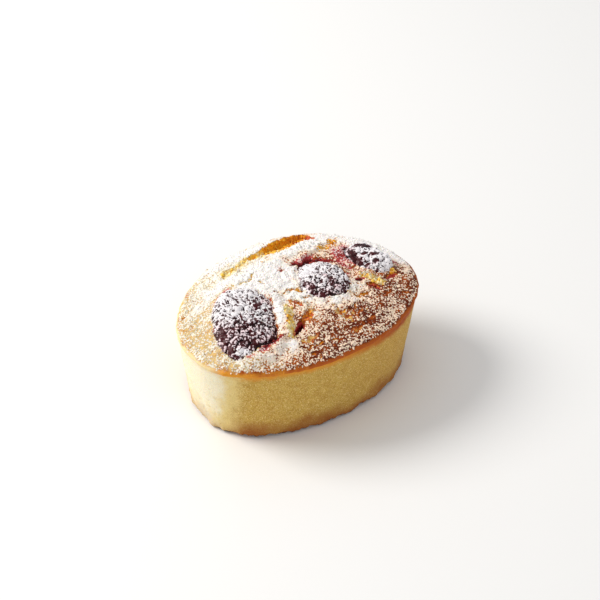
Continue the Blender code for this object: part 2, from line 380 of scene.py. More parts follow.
# %% The flakes and the pits
FLAKES = (
    {
        "crest": ((-8.2, -3.6), (-9.8, -7.4), (-11.8, -11.2), (-13.8, -14.8), (-15.4, -17.2)),
        "rise": 1.5,
        "flank": 2.6,
        "face": 2.3,
        "dust": 0.5,
    },
    {
        "crest": ((26.8, -12.9), (25.4, -11.0), (24.3, -9.2), (23.2, -7.2), (21.6, -5.9), (20.0, -5.2)),
        "rise": 0.8,
        "flank": 2.0,
        "face": 1.7,
        "dust": 0.8,
    },
)
# A pit soaked with juice right through is painted nearly black at its bottom, partly dark juice and
# partly painted shade
PITS = (
    # x, y, half length, half width, heading, depth, juice
    (-9.6, -15.0, 3.8, 1.4, 27.0, 2.6, 1.0),
    (-4.4, -12.4, 3.4, 1.7, 20.0, 1.3, 0.35),
    (21.6, -11.6, 3.4, 1.3, -58.0, 1.3, 0.6),
    (19.4, -7.4, 1.8, 0.9, -20.0, 0.7, 0.95),
    (30.2, -10.4, 3.0, 1.3, 12.0, 1.1, 0.5),
    (-11.8, -25.2, 0.9, 0.7, -40.0, 0.7, 0.3),
)
SCARS = (
    # x, y, half length, half width, heading, browning, how far the crumb shows
    (20.9, 12.8, 3.4, 2.1, 20.0, 0.46, 0.9),
    (25.6, 15.0, 3.4, 1.8, 40.0, 0.58, 1.0),
    (31.6, -8.4, 1.6, 0.9, -20.0, 0.30, 1.0),
    (5.0, -17.8, 3.2, 1.6, -75.0, 0.35, 0.0),
    (9.5, -19.0, 3.0, 1.2, 8.0, 0.50, 0.0),
    (-10.3, -20.4, 3.2, 1.0, -8.0, 0.35, 0.0),
    (-12.4, -23.0, 1.5, 1.1, 0.0, 0.75, 0.0),
    (10.4, -23.5, 3.4, 1.2, 0.0, 0.85, 0.0),
    (4.7, -24.6, 3.0, 1.0, 3.0, 0.65, 0.0),
    (30.2, -18.6, 1.9, 1.1, -40.0, 0.70, 0.0),
    (23.5, -16.4, 2.2, 0.9, 20.0, 0.80, 0.0),
)
# The crust's edge over the near end of the left berry
BANK_EDGE = -15.4
BANK_RISE = 1.3


def flakes_at(x, y):
    """A flake's rise here, how much this place is its broken face, and how dusted the face is."""
    strayed_x = x + rough(x, y, 1.7, 4, 12.0)
    strayed_y = y + rough(x, y, 1.7, 4, 14.0)
    rise, bare, dust = 0.0, 0.0, 0.0
    for flake in FLAKES:
        distance, share, on_left = line_reach(strayed_x, strayed_y, flake["crest"])
        ends = smooth(share, 0.0, 0.2) * smooth(share, 1.0, 0.88)
        if on_left:
            rise = max(rise, flake["rise"] * ends * smooth(distance, flake["face"], 0.0))
            broken = ends * smooth(distance, flake["face"] * 1.25, flake["face"])
            if broken > bare:
                bare, dust = broken, flake["dust"]
        else:
            rise = max(rise, flake["rise"] * ends * math.exp(-((distance / flake["flank"]) ** 2)))
    return rise, bare, dust


def bank_at(x, y):
    """How far the crust has risen over the near end of the left berry."""
    edge = BANK_EDGE + 0.8 * rough(x, y, 1.8, 3, 91.0)
    along = smooth(x, -35.0, -30.0) * smooth(x, -13.0, -17.0)
    return along * smooth(y, edge + 0.4, edge - 0.5) * smooth(y, -24.5, -17.5)


def pits_at(x, y):
    """How open a pit is here, its depth, and how soaked it is with juice."""
    opening, depth, juice = 0.0, 0.0, 0.0
    for *spot, pit_depth, pit_juice in PITS:
        mound = bell(x, y, spot)
        if mound > 0.05:
            here = smooth(mound + 0.3 * rough(x, y, 1.8, 3, 15.0), 0.3, 0.75)
            if here > opening:
                opening = here
                juice = pit_juice
            depth = max(depth, here * pit_depth)
    return opening, depth, juice


def scars_at(x, y):
    """How open a shallow scar is here, how browned it is, and how far its crumb shows."""
    opening, browning, crumb = 0.0, 0.0, 0.0
    for *spot, scar_browning, scar_crumb in SCARS:
        here = smooth(bell(x, y, spot) + 0.6 * rough(x, y, 1.4, 3, 17.0), 0.25, 0.75)
        if here > opening:
            opening, browning, crumb = here, scar_browning, scar_crumb
    return opening, browning, crumb


# %% [markdown]
# ## How sugar, browning and juice lie on the crust
# The colours follow the landscape, so they are worked out together with it and kept on the mesh as
# attributes, which a material can read at every point. `sugar` is how much of the crust is
# hidden by icing sugar, `toast` how brown the crust is, `bare` where the crumb shows
# through, and `juice` how far berry juice has soaked in.

# %% Sugar and browning
SUGAR_BASE = 0.46
SUGAR_DRIFTS = (
    # x, y, half length, half width, heading, how much it adds
    (-4.0, 9.0, 13.0, 8.0, -14.0, 0.45),
    (14.0, 17.5, 11.0, 5.0, -20.0, 0.40),
    (-21.0, 15.0, 14.0, 6.0, 32.0, 0.16),
    (-35.0, 2.0, 5.0, 16.0, 0.0, -0.05),
    (2.0, -5.5, 9.0, 4.0, -12.0, 0.25),
    (12.0, -10.5, 9.0, 3.5, 12.0, 0.12),
    (25.5, 20.0, 5.0, 3.0, -40.0, 0.30),
    (34.0, 10.0, 8.0, 7.0, -50.0, 0.36),
    (39.0, 0.5, 3.0, 8.0, 0.0, 0.42),
    (-25.0, -18.8, 8.0, 3.0, -12.0, 0.16),
    (-11.8, -6.4, 7.0, 2.2, 62.0, 0.50),
    (-15.0, -19.0, 4.5, 2.2, 15.0, 0.24),
    (8.0, -13.0, 7.5, 2.0, -18.0, 0.15),
    (17.6, -8.6, 2.6, 2.0, 40.0, 0.20),
    (0.0, 27.5, 26.0, 3.0, 0.0, 0.26),
    (29.0, -12.0, 9.0, 7.0, -50.0, -0.04),
    (8.0, -21.5, 20.0, 5.0, 12.0, -0.06),
    (-20.0, 11.6, 6.0, 1.6, 25.0, -0.30),
)
SUGAR_MOST = 0.95
SUGAR_EDGE = 0.996
SUGAR_FADE = 0.015
BROWNING_ALONG = Vector((0.80, -0.60, 0.0))
BROWNING_FROM = -26.0
BROWNING_TO = 12.0
BROWNING_LEAST = 0.10


def sugar_at(x, y, reach):
    """The share of the crust that sugar hides here."""
    cover = heaped(x, y, SUGAR_DRIFTS, SUGAR_BASE + 0.14 * rough(x, y, 3.5, 3, 21.0))
    edge = SUGAR_EDGE + 0.02 * rough(x, y, 1.8, 3, 23.0)
    return min(SUGAR_MOST, cover) * smooth(reach, edge, edge - SUGAR_FADE)


def toast_at(x, y, reach):
    """How brown the crust is here, from 0, golden, to 1, dark brown."""
    along = x * BROWNING_ALONG.x + y * BROWNING_ALONG.y
    brown = BROWNING_LEAST + 0.75 * smooth(along, BROWNING_FROM, BROWNING_TO)
    brown += 0.2 * smooth(reach, 0.94, 1.0)
    return min(1.0, max(0.0, brown + 0.3 * rough(x, y, 5.0, 3, 25.0)))


# %% [markdown]
# Juice from the berries soaks into the crust beside them. Where it is strong enough to see was read
# from the photograph, and elsewhere it seeps out a little, here and there, along a berry's edge.

# %% The juice
JUICE_SPOTS = (
    # x, y, half length, half width, heading, strength
    (25.4, 8.6, 3.6, 2.2, 60.0, 0.95),
    (19.6, 1.6, 4.0, 1.4, -75.0, 0.75),
    (-30.6, -4.0, 5.0, 1.5, 75.0, 0.85),
    (-20.5, 11.2, 5.5, 1.3, 25.0, 0.75),
    (-27.0, -18.0, 8.0, 2.0, -15.0, 0.20),
    (-20.5, -16.0, 6.0, 1.0, 3.0, 0.9),
    (35.4, -5.4, 1.9, 0.8, -70.0, 0.8),
    (17.5, -4.0, 3.5, 1.6, -60.0, 0.45),
    (1.2, 10.7, 1.3, 1.0, 0.0, 0.7),
    (23.6, 4.5, 5.0, 1.2, 80.0, 1.0),
    (22.4, 6.4, 6.5, 3.4, 82.0, 0.76),
    (10.2, 10.4, 6.5, 1.5, 0.0, 0.64),
)


def juice_at(x, y, nearness):
    """How far juice from the berries has soaked in here."""
    seep = smooth(nearness, 1.06, 0.92) * smooth(rough(x, y, 4.0, 2, 31.0), -0.05, 0.4)
    return min(1.0, strongest(x, y, JUICE_SPOTS) + 0.4 * seep)


# %% [markdown]
# ## Broken crust
# In the middle the crust broke into crumbs: each cell of a Voronoi pattern is one lump, and the
# lines between the cells are the cracks. A few larger blocks broke off whole. A mound cut off at a
# level makes them, flat on top with steep sides.

# %% Crumbs and blocks
BLOCKS = (
    # x, y, half length, half width, heading, height
    (16.6, 15.4, 7.0, 3.6, 28.0, 0.8),
    (3.0, 16.0, 7.0, 3.4, -5.0, 0.2),
    (-1.5, 6.5, 4.0, 3.0, 30.0, 0.4),
    (-3.5, -5.0, 3.0, 2.2, 60.0, 0.5),
)
LUMP_SIZE = 2.3
LUMP_LEVEL = 0.55
CRUMBLED_LEAST = 0.05
CRUMBLED = (
    # x, y, half length, half width, heading, strength
    (1.0, -4.0, 9.0, 6.0, -25.0, 1.0),
    (12.0, -10.0, 8.0, 3.0, 8.0, 0.9),
    (-6.0, 8.0, 12.0, 6.0, -20.0, 0.5),
    (12.0, 16.0, 12.0, 5.0, -12.0, 0.7),
    (23.0, -7.0, 5.0, 4.0, -50.0, 0.8),
    (-4.0, 19.5, 16.0, 2.2, 5.0, 0.8),
    (-3.0, -12.0, 4.0, 3.0, 50.0, 1.0),
)


def crumbs_at(x, y):
    """How high a lump of crumb stands here, how open the crack beside it is, and how broken all is."""
    crumbled = strongest(x, y, CRUMBLED)
    if crumbled < CRUMBLED_LEAST:
        return 0.0, 0.0, 0.0
    strayed = Vector((x + rough(x, y, 2.4, 3, 71.0), y + rough(x, y, 2.4, 3, 73.0), 0.0))
    distances, _ = noise.voronoi(strayed / LUMP_SIZE)
    lump = LUMP_LEVEL - distances[0]
    gap = smooth(distances[1] - distances[0], 0.16, 0.03)
    gap *= smooth(rough(x, y, 3.4, 2, 75.0), -0.12, 0.2)
    return crumbled * lump, smooth(crumbled, 0.2, 0.7) * gap, crumbled


def blocks_at(x, y):
    """How high a broken block of crust stands here: flat on top, with steep sides."""
    rise = 0.0
    for *spot, height in BLOCKS:
        mound = bell(x, y, spot) + 0.25 * rough(x, y, 2.6, 3, 81.0)
        rise = max(rise, height * smooth(mound, 0.36, 0.50))
    return rise


# %% [markdown]
# ## The height of the crust
# Everything meets here: one function gives the height of the top and the four attributes. Under a
# berry the crust drops into a bed that the berry fills, and around it the crust swells up a
# little, so that the berry looks baked in. In a few places the crust comes in further over a
# berry's edge.

# %% The whole landscape
DOME_RISE = 4.2
DOME_POWER = 2.4
SWELLINGS = (
    # x, y, half length, half width, heading, rise
    (6.0, 15.0, 15.0, 5.0, -8.0, 1.6),
    (3.0, -15.0, 10.0, 5.0, 10.0, 0.5),
)
RIPPLE = 0.5
RIPPLE_SIZE = 8.5
BED_DEPTH = 4.0
OVERLAPS = (
    # x, y, half length, half width, heading, how far the crust comes in over a berry
    (3.0, 3.6, 4.0, 3.0, 60.0, 0.14),
    (1.6, -5.6, 3.0, 2.4, 0.0, 0.08),
    (-14.0, 7.6, 5.0, 2.4, -50.0, 0.08),
    (-31.0, -14.0, 4.0, 2.6, -50.0, 0.08),
    (33.6, -4.0, 3.0, 4.0, 0.0, 0.08),
)
FIELDS = ("sugar", "toast", "bare", "juice")


def crust_at(x, y, turn, reach):
    """Height of the top in millimetres and the four attributes, at a place in millimetres."""
    torn, tear_depth, tear_share, tear_across = tear_at(x, y, turn, reach)
    crack, crack_depth, crack_juice = cracks_at(x, y)
    pit, pit_depth, pit_juice = pits_at(x, y)
    scar, scar_browning, scar_crumb = scars_at(x, y)
    flake_rise, face, face_dust = flakes_at(x, y)
    bank = bank_at(x, y)
    lump, gap, crumbled = crumbs_at(x, y)
    nearness = berry_nearness(x, y) + 0.05 * rough(x, y, 2.2, 3, 41.0)
    flake_cover = smooth(flake_rise, 0.15, 0.8)
    overlap = heaped(x, y, OVERLAPS, 0.08 * rough(x, y, 2.6, 3, 43.0))
    bed = smooth(nearness + overlap, 0.94, 0.80) * (1.0 - flake_cover) * (1.0 - bank)
    swell = smooth(nearness, 1.25, 1.0) * smooth(nearness, 0.90, 0.97)
    bare = max(torn, 0.8 * crack, 0.9 * pit, face, scar * scar_crumb, 0.55 * gap)
    sugar = sugar_at(x, y, reach)
    calm = smooth(reach, 1.0, 0.95)

    height = RIM_HEIGHT / MM + DOME_RISE * (1.0 - reach ** DOME_POWER)
    height -= LIP_DROP / MM * smooth(reach, LIP_START, 2.0 - LIP_START) * 2.0
    height = heaped(x, y, SWELLINGS, height)
    height += RIPPLE * calm * noise.noise(Vector((x, y, 0.0)) / RIPPLE_SIZE)
    height += BANK_RISE * bank * smooth(nearness, 1.25, 0.98)
    height += 0.35 * swell + flake_rise + 1.1 * lump - 0.5 * gap - 0.3 * scar
    height += (1.0 - torn) * blocks_at(x, y)
    height += (0.32 + 0.3 * bare) * (0.3 + 0.7 * calm) * rough(x, y, 1.5, 4, 55.0)
    height += 0.7 * max(torn, face) * rough(x, y, 1.0, 3, 57.0)
    height += 0.25 * smooth(sugar, 0.55, 0.85) * (1.0 - bare)
    height -= tear_depth + max(crack_depth, pit_depth) + BED_DEPTH * bed

    juice = juice_at(x, y, nearness) * (1.0 - flake_cover)
    juice = max(juice, crack * crack_juice, pit * pit_juice)
    toast = toast_at(x, y, reach) * (1.0 - 0.7 * crumbled * (1.0 - max(pit, crack)))
    if torn > 0.3:
        toast = 0.95 * smooth(tear_share, 0.80, 0.02) - 0.45 * tear_across
        toast += 0.6 * rough(x, y, 1.4, 3, 65.0)
        juice = max(juice, 0.45 * torn * smooth(tear_share, 0.20, 0.03))
    elif face > 0.3:
        toast = 0.9 * rough(x, y, 1.6, 3, 65.0)
    else:
        browned = scar_browning + 0.6 * rough(x, y, 1.6, 3, 65.0)
        toast += (browned - toast) * smooth(scar, 0.05, 0.3)
    dusted = smooth(rough(x, y, 1.6, 3, 67.0), -0.15, 0.25)
    sugar *= (1.0 - torn * (0.95 - 0.50 * tear_across)) * (1.0 - 0.65 * pit) * (1.0 - 0.6 * crack)
    sugar *= (1.0 - face * (0.95 - face_dust * dusted)) * (1.0 - scar * (0.65 - 0.4 * dusted))
    sugar *= 1.0 - 0.34 * min(1.0, juice)
    bare *= smooth(reach, 1.0, 0.985)
    return height, {"sugar": sugar, "toast": toast, "bare": bare, "juice": juice}


# %% [markdown]
# ## The crust as a mesh
# A grid is made first, then every point of the square is moved to its place on the oval, which
# keeps the faces even right up to the rim, where a fan of triangles would pinch at the middle. The
# lip grows down from the rim by extruding the open edge again and again. The last rows turn
# in under the lip, out of sight, and a face closes the crust below.

# %% Rows and rims
CRUST_CELLS_LONG = 320
CRUST_CELLS_WIDE = 240
LIP_ROWS = 5
LIP_FOOT = 27.6
UNDERSIDE = ((LIP_FOOT, 1.0), (25.0, 3.0), (22.5, 6.0))
RIM_WAVER = 0.30 * MM
RIM_WAVES_ROUND = 8.5


def square_to_oval(u, v):
    """Turn a place on a square, from -1 to 1 each way, into a turn and a reach."""
    reach = max(abs(u), abs(v))
    if reach == 0.0:
        return 0.0, 0.0
    if abs(u) >= abs(v):
        turn = math.pi / 4.0 * v / u
        if u < 0.0:
            turn += math.pi
    else:
        turn = math.pi / 2.0 - math.pi / 4.0 * u / v
        if v < 0.0:
            turn += math.pi
    return turn, reach


def rim_waver(turn):
    """How far the rim stands out at a turn: a baked edge is never a clean line."""
    place = Vector((math.cos(turn), math.sin(turn), 0.0)) * RIM_WAVES_ROUND
    return RIM_WAVER * noise.fractal(place, 1.0, 2.0, 4)


def split_corners(bm):
    """Split the grid's corner faces from the corner inwards, as each corner will lie on the rim."""
    for corner in [vert for vert in bm.verts if len(vert.link_faces) == 1]:
        face = corner.link_faces[0]
        inner = max(face.verts, key=lambda vert: (vert.co - corner.co).length)
        bmesh.ops.connect_vert_pair(bm, verts=[corner, inner])


def grow_rows(bm, edges, rows):
    """Extrude an open edge through rows of height and inset, and close it with a face."""
    last_inset = 0.0
    for height, inset in rows:
        grown = bmesh.ops.extrude_edge_only(bm, edges=edges)["geom"]
        for vert in grown:
            if isinstance(vert, bmesh.types.BMVert):
                turn = turn_at(vert.co, last_inset)
                vert.co = oval_point(turn, inset, height)
        edges = [edge for edge in grown if isinstance(edge, bmesh.types.BMEdge)]
        last_inset = inset
    bmesh.ops.contextual_create(bm, geom=edges)


def lip_rows():
    """Height and inset of the rows of the crust's lip and of its hidden underside."""
    edge = (RIM_HEIGHT - LIP_DROP) / MM
    rows = []
    for row in range(1, LIP_ROWS + 1):
        share = row / LIP_ROWS
        rows.append((edge - LIP_HEIGHT / MM * share, LIP_OVERHANG / MM * share ** 2.5))
    rows.extend(UNDERSIDE)
    return [(height * MM, inset * MM) for height, inset in rows]


def smooth_mesh(bm, name, middle=Vector()):
    """Turn a bmesh into a smooth mesh about a middle."""
    bmesh.ops.translate(bm, verts=bm.verts, vec=-middle)
    mesh = bpy.data.meshes.new(name)
    bm.to_mesh(mesh)
    bm.free()
    mesh.shade_smooth()
    return mesh


def count_triangles(piece):
    """Print how many triangles a piece has."""
    piece.data.calc_loop_triangles()
    print(piece.name + ":", len(piece.data.loop_triangles), "triangles")


# %% Build the crust
def build_crust():
    """The crust as one closed mesh, with its four attributes."""
    bm = bmesh.new()
    layers = {name: bm.verts.layers.float.new(name) for name in FIELDS}
    bmesh.ops.create_grid(bm, x_segments=CRUST_CELLS_LONG, y_segments=CRUST_CELLS_WIDE, size=1.0)
    split_corners(bm)
    reaches = {}
    for vert in bm.verts:
        turn, reach = square_to_oval(vert.co.x, vert.co.y)
        place = oval_point(turn, 0.0, RIM_HEIGHT) * reach
        height, fields = crust_at(place.x / MM, place.y / MM, turn, reach)
        vert.co = (place.x, place.y, height * MM)
        for name, value in fields.items():
            vert[layers[name]] = value
        reaches[vert] = reach
    rim = [edge for edge in bm.edges if edge.is_boundary]
    grow_rows(bm, rim, lip_rows())
    bmesh.ops.recalc_face_normals(bm, faces=bm.faces)
    bm.normal_update()
    for vert in bm.verts:
        if vert in reaches:
            vert[layers["sugar"]] *= smooth(vert.normal.z, 0.10, 0.5)
        else:
            vert[layers["sugar"]] = 0.0
        edge = smooth(vert.co.z / MM, LIP_FOOT, LIP_FOOT + 0.5)
        edge *= smooth(reaches.get(vert, 1.0), 0.93, 1.0)
        turn = turn_at(vert.co, 0.0)
        outward = Vector((math.cos(turn), math.sin(turn), 0.0))
        vert.co += outward * rim_waver(turn) * edge
    return smooth_mesh(bm, "baked_crust", MIDDLE)


crust = add_object("baked_crust", build_crust())
count_triangles(crust)

# %% [markdown]
# ## The side and the base
# Below the crust the tin moulded a smooth side of fine crumb. It starts as a circle laid on the
# oval, and its rows are extruded up from the flat base, round the soft bottom edge and up the
# taper, to end hidden inside the crust. Small pores, a fine grain and a ragged bottom edge
# are moved in along the normals.

# %% Build the side
SIDE_COLUMNS = 760
WALL_ROWS = 66
BASE_ROUND_ROWS = 7
SIDE_TOP = 28.6
WALL_RECESS = 0.1 * MM
HIDDEN_TOP = ((27.4, 2.2), (24.0, 4.5), (22.0, 8.0))
PORE_SPACING = 1.7
PORE_DEPTH = 0.22
PORE_SHARE = 0.35
FOOT_HEIGHT = 3.6
FOOT_RAGGEDNESS = 0.75
LEAST_HEIGHT = 0.02 * MM


def side_rows():
    """Height and inset of the rows of the side, from the base up, to its hidden top."""
    rows = []
    for row in range(1, BASE_ROUND_ROWS + 1):
        angle = math.pi / 2.0 * (1.0 - row / BASE_ROUND_ROWS)
        height = BASE_ROUND * (1.0 - math.sin(angle))
        rows.append((height, WALL_TAPER + BASE_ROUND * (1.0 - math.cos(angle))))
    top = SIDE_TOP * MM
    for row in range(1, WALL_ROWS + 1):
        share = row / WALL_ROWS
        height = BASE_ROUND + (top - BASE_ROUND) * share
        rows.append((height, WALL_TAPER + (LIP_OVERHANG - WALL_TAPER) * share + WALL_RECESS))
    rows.extend((height * MM, inset * MM) for height, inset in HIDDEN_TOP)
    return rows


def side_relief(place):
    """How far the side's skin stands out here: soft waves, fine grain, pores and a ragged foot."""
    x, y, z = place / MM
    spot = Vector((x, y, z))
    relief = 0.05 * noise.fractal(spot / 0.9, 1.0, 2.0, 3) + 0.12 * noise.noise(spot / 6.0)
    distances, centres = noise.voronoi(spot / PORE_SPACING)
    if noise.cell(centres[0] * 7.3) > PORE_SHARE:
        relief -= PORE_DEPTH * smooth(distances[0], 0.34, 0.12)
    foot = smooth(z, FOOT_HEIGHT, 0.4)
    relief += foot * FOOT_RAGGEDNESS * noise.fractal(Vector((x, y, 2.0)) / 3.0, 1.0, 2.0, 4)
    return relief * MM * smooth(z, SIDE_TOP, SIDE_TOP - 1.0)


def build_side():
    """The moulded side and the flat base as one closed mesh."""
    bm = bmesh.new()
    bmesh.ops.create_circle(bm, cap_ends=True, segments=SIDE_COLUMNS, radius=1.0)
    base_inset = WALL_TAPER + BASE_ROUND
    for vert in bm.verts:
        vert.co = oval_point(math.atan2(vert.co.y, vert.co.x), base_inset, 0.0)
    foot = [edge for edge in bm.edges if edge.is_boundary]
    grow_rows(bm, foot, side_rows())
    bmesh.ops.recalc_face_normals(bm, faces=bm.faces)
    bm.normal_update()
    for vert in bm.verts:
        if vert.co.z > 0.0:
            vert.co += vert.normal * side_relief(vert.co)
            vert.co.z = max(vert.co.z, LEAST_HEIGHT)
    return smooth_mesh(bm, "moulded_side", MIDDLE)


side = add_object("moulded_side", build_side())
count_triangles(side)

# %% [markdown]
# ## The berries
# A berry of this kind is a cluster of small round drupelets. Their tips are set out on an even
# spiral, turning by the golden angle each time, so that no two stand in line. Each tip is the
# top of a small ball, larger or smaller than the next, and the skin at any point is the
# outermost of the balls around it. Where two balls are equally far out there is a crease.
# Sugar lies thick on what faces up, in clumps, and it is part of the shape.

# %% Where the drupelets are
DRUPELET_SPACING = 2.4 * MM
DRUPELET_RADIUS = 1.55 * MM
DRUPELET_LIFT = 0.25 * MM
DRUPELET_RELIEF = 0.75
CREASE_WIDTH = 0.45 * MM
GOLDEN_ANGLE = math.pi * (3.0 - math.sqrt(5.0))
AXIS_STEPS = 200
SECTION_POWER = 1.6075
DRUPELET_PACKING = 0.866


def boxy(way, half_sizes):
    """A point on a rounded, slightly boxy egg, in a direction from its middle."""
    total = sum(abs(part) ** BERRY_SQUARENESS for part in way)
    scale = total ** (-1.0 / BERRY_SQUARENESS)
    return Vector(part * scale * half for part, half in zip(way, half_sizes))


def surface_area(half_sizes):
    """Area of an egg with these half sizes: a mean of its three cross sections, to a power."""
    a, b, c = (half ** SECTION_POWER for half in half_sizes)
    return 4.0 * math.pi * ((a * b + a * c + b * c) / 3.0) ** (1.0 / SECTION_POWER)


def drupelet_directions(half_sizes):
    """Directions of the drupelets: an even spiral round the berry's long axis."""
    count = round(surface_area(half_sizes) / (DRUPELET_PACKING * DRUPELET_SPACING ** 2))
    half_length = half_sizes[0]
    half_girth = (half_sizes[1] + half_sizes[2]) / 2.0
    angles = [math.pi * (step + 0.5) / AXIS_STEPS for step in range(AXIS_STEPS)]
    bands = [
        math.sin(a) * math.hypot(half_length * math.sin(a), half_girth * math.cos(a))
        for a in angles
    ]
    total = sum(bands)
    directions = []
    running = 0.0
    for angle, band in zip(angles, bands):
        running += band
        while len(directions) < count and running >= (len(directions) + 0.5) / count * total:
            swing = GOLDEN_ANGLE * len(directions)
            ring = math.sin(angle)
            directions.append(
                Vector((math.cos(angle), ring * math.cos(swing), ring * math.sin(swing)))
            )
    return directions


# %% [markdown]
# How the sugar lies on each berry was read from the photograph: thick on the side away from the
# camera, thinner towards it, and missing where a berry's edge is wet with juice. `more` is how
# fast the cover grows away from the camera, and `spots` lists places with more or less of it.

# %% Sugar on the berries
AWAY = -Vector((math.sin(VIEW_AZIMUTH), -math.cos(VIEW_AZIMUTH), 0.0))
BERRY_SUGAR = {
    "berry_left": {
        "cover": 0.27,
        "more": 0.19,
        "spots": (
            # x, y, half length, half width, heading, change
            (-18.4, -14.9, 4.0, 1.1, 16.0, -1.2),
            (-31.4, -5.6, 2.4, 0.7, 75.0, -0.8),
            (-33.0, -12.8, 2.0, 0.5, 100.0, -0.5),
            (-14.6, -0.8, 3.4, 0.8, 30.0, -0.4),
            (-11.0, -1.4, 2.4, 0.8, 95.0, -0.4),
            (-26.6, -7.4, 2.8, 1.0, -20.0, -0.3),
            (-24.6, -14.6, 2.6, 1.0, -35.0, -0.25),
            (-29.0, -16.2, 3.4, 1.5, -35.0, 0.4),
            (-23.0, 1.5, 5.0, 4.0, 60.0, 0.16),
            (-14.8, -2.8, 1.2, 0.9, 30.0, 0.3),
            (-18.0, -5.4, 1.1, 0.9, 0.0, 0.3),
            (-31.6, -13.6, 2.2, 1.2, -45.0, 0.3),
        ),
    },
    "berry_middle": {
        "cover": 0.31,
        "more": 0.06,
        "spots": (
            (6.4, 4.0, 5.0, 3.4, -10.0, 0.24),
            (3.3, 3.5, 1.8, 0.5, 80.0, -0.6),
            (3.1, -3.6, 2.4, 0.9, 85.0, -0.34),
            (9.6, -4.2, 2.8, 0.7, -80.0, -0.34),
            (6.0, -9.4, 4.5, 1.3, -40.0, -0.20),
            (10.2, -8.4, 2.4, 1.3, -40.0, -0.22),
        ),
    },
    "berry_back": {
        "cover": 0.60,
        "more": -0.05,
        "spots": (
            (30.3, 5.1, 2.5, 1.2, -30.0, -1.8),
            (31.0, 2.7, 1.4, 0.7, -30.0, -1.2),
            (25.1, 3.4, 3.7, 1.0, 76.0, -1.8),
            (25.4, 0.2, 1.1, 0.7, -20.0, -1.2),
            (24.7, -1.3, 0.8, 0.6, 0.0, -1.5),
            (26.0, -3.4, 0.9, 0.7, 0.0, -1.5),
            (28.6, -4.2, 1.0, 0.8, 0.0, -1.8),
            (24.7, -4.8, 0.8, 0.6, 0.0, -1.5),
            (26.6, -6.8, 0.9, 0.6, 0.0, -1.5),
            (27.6, 0.9, 0.7, 0.5, 0.0, -1.5),
            (29.5, -1.3, 1.0, 0.5, -70.0, -1.2),
        ),
    },
}


def berry_cover(node, place):
    """How much of a berry's skin sugar hides at a place in the oval's own terms."""
    middle = Vector(BERRIES[node]["middle"])
    lie = BERRY_SUGAR[node]
    away = (place / MM - middle).dot(AWAY) / BERRIES[node]["half_sizes"][0]
    cover = lie["cover"] + lie["more"] * away
    return heaped(place.x / MM, place.y / MM, lie["spots"], cover)


# %% Build a berry
BALL_SUBDIVISIONS = 7
BALLS_AROUND = 5
DRUPELET_STRAY = 0.30 * MM
DRUPELET_SIZES = (0.84, 1.14)
SUGAR_THICKNESS = 0.16 * MM
WIDE_CLUMPS = 2.6 * MM
ROUND_CLUMPS = 1.05 * MM
FINE_CLUMPS = 0.62 * MM
FIRST_BERRY_SEED = 3


def berry_clump(place):
    """How much sugar clumps here: wide, fine and round lumps together, about 0."""
    clump = 0.30 * noise.fractal(place / WIDE_CLUMPS, 1.0, 2.0, 2)
    clump += 0.75 * noise.fractal(place / FINE_CLUMPS, 0.7, 2.0, 4)
    distances, _ = noise.voronoi(place / ROUND_CLUMPS)
    return clump + 1.1 * (0.48 - distances[0])


def build_berry(node, berry, seed):
    """A berry with round drupelets and clumps of sugar on them."""
    half_sizes = [half * MM for half in berry["half_sizes"]]
    tips = [boxy(way, half_sizes) for way in drupelet_directions(half_sizes)]
    draw = random.Random(seed)
    radii = [draw.uniform(*DRUPELET_SIZES) * DRUPELET_RADIUS for _ in tips]
    tree = kdtree.KDTree(len(tips))
    for index, tip in enumerate(tips):
        stray = Vector((draw.gauss(0, 1), draw.gauss(0, 1), draw.gauss(0, 1))) * DRUPELET_STRAY
        tree.insert(tip + stray, index)
    tree.balance()
    bm = bmesh.new()
    layers = {field: bm.verts.layers.float.new(field) for field in ("sugar", "dome", "haze")}
    bmesh.ops.create_icosphere(bm, subdivisions=BALL_SUBDIVISIONS, radius=1.0)
    for vert in bm.verts:
        skin = boxy(vert.co.normalized(), half_sizes)
        balls = []
        for _, index, distance in tree.find_n(skin, BALLS_AROUND):
            balls.append(math.sqrt(max(0.0, radii[index] ** 2 - distance ** 2)))
        balls.sort()
        height = (balls[-1] - DRUPELET_RADIUS) * DRUPELET_RELIEF + DRUPELET_LIFT
        height += 0.35 * MM * noise.fractal(skin / (4.5 * MM), 1.0, 2.0, 2)
        height += 0.16 * MM * noise.fractal(skin / (0.8 * MM), 1.0, 2.0, 2)
        vert.co = skin + skin.normalized() * height
        vert[layers["dome"]] = min(1.0, (balls[-1] - balls[-2]) / CREASE_WIDTH)
    bmesh.ops.transform(bm, matrix=berry_placing(berry), verts=bm.verts)
    bm.normal_update()
    for vert in bm.verts:
        cover = berry_cover(node, vert.co)
        facing = smooth(vert.normal.z, -0.3, 0.4)
        raised = smooth(vert[layers["dome"]], 0.0, 1.0) - 0.5
        level = cover - 0.2 * (1.0 - facing) + 0.45 * raised + berry_clump(vert.co)
        vert[layers["sugar"]] = smooth(level, 0.30, 0.50)
        vert[layers["haze"]] = cover * facing
        vert.co += vert.normal * SUGAR_THICKNESS * vert[layers["sugar"]]
    return smooth_mesh(bm, berry["piece"], MIDDLE)


berries = {}
for seed, (node, berry) in enumerate(BERRIES.items(), FIRST_BERRY_SEED):
    berries[node] = add_object(berry["piece"], build_berry(node, berry, seed))
    count_triangles(berries[node])

# %% [markdown]
# ## Writing materials as sums
# A material is a graph of nodes, and sums made of Math nodes are hard to read. The class `Wire`
# wraps a socket, so that `1 - mask` or `a * b` in Python adds the right Math node. `add_node` adds
# any other node in one line, and serves materials and Geometry Nodes alike.

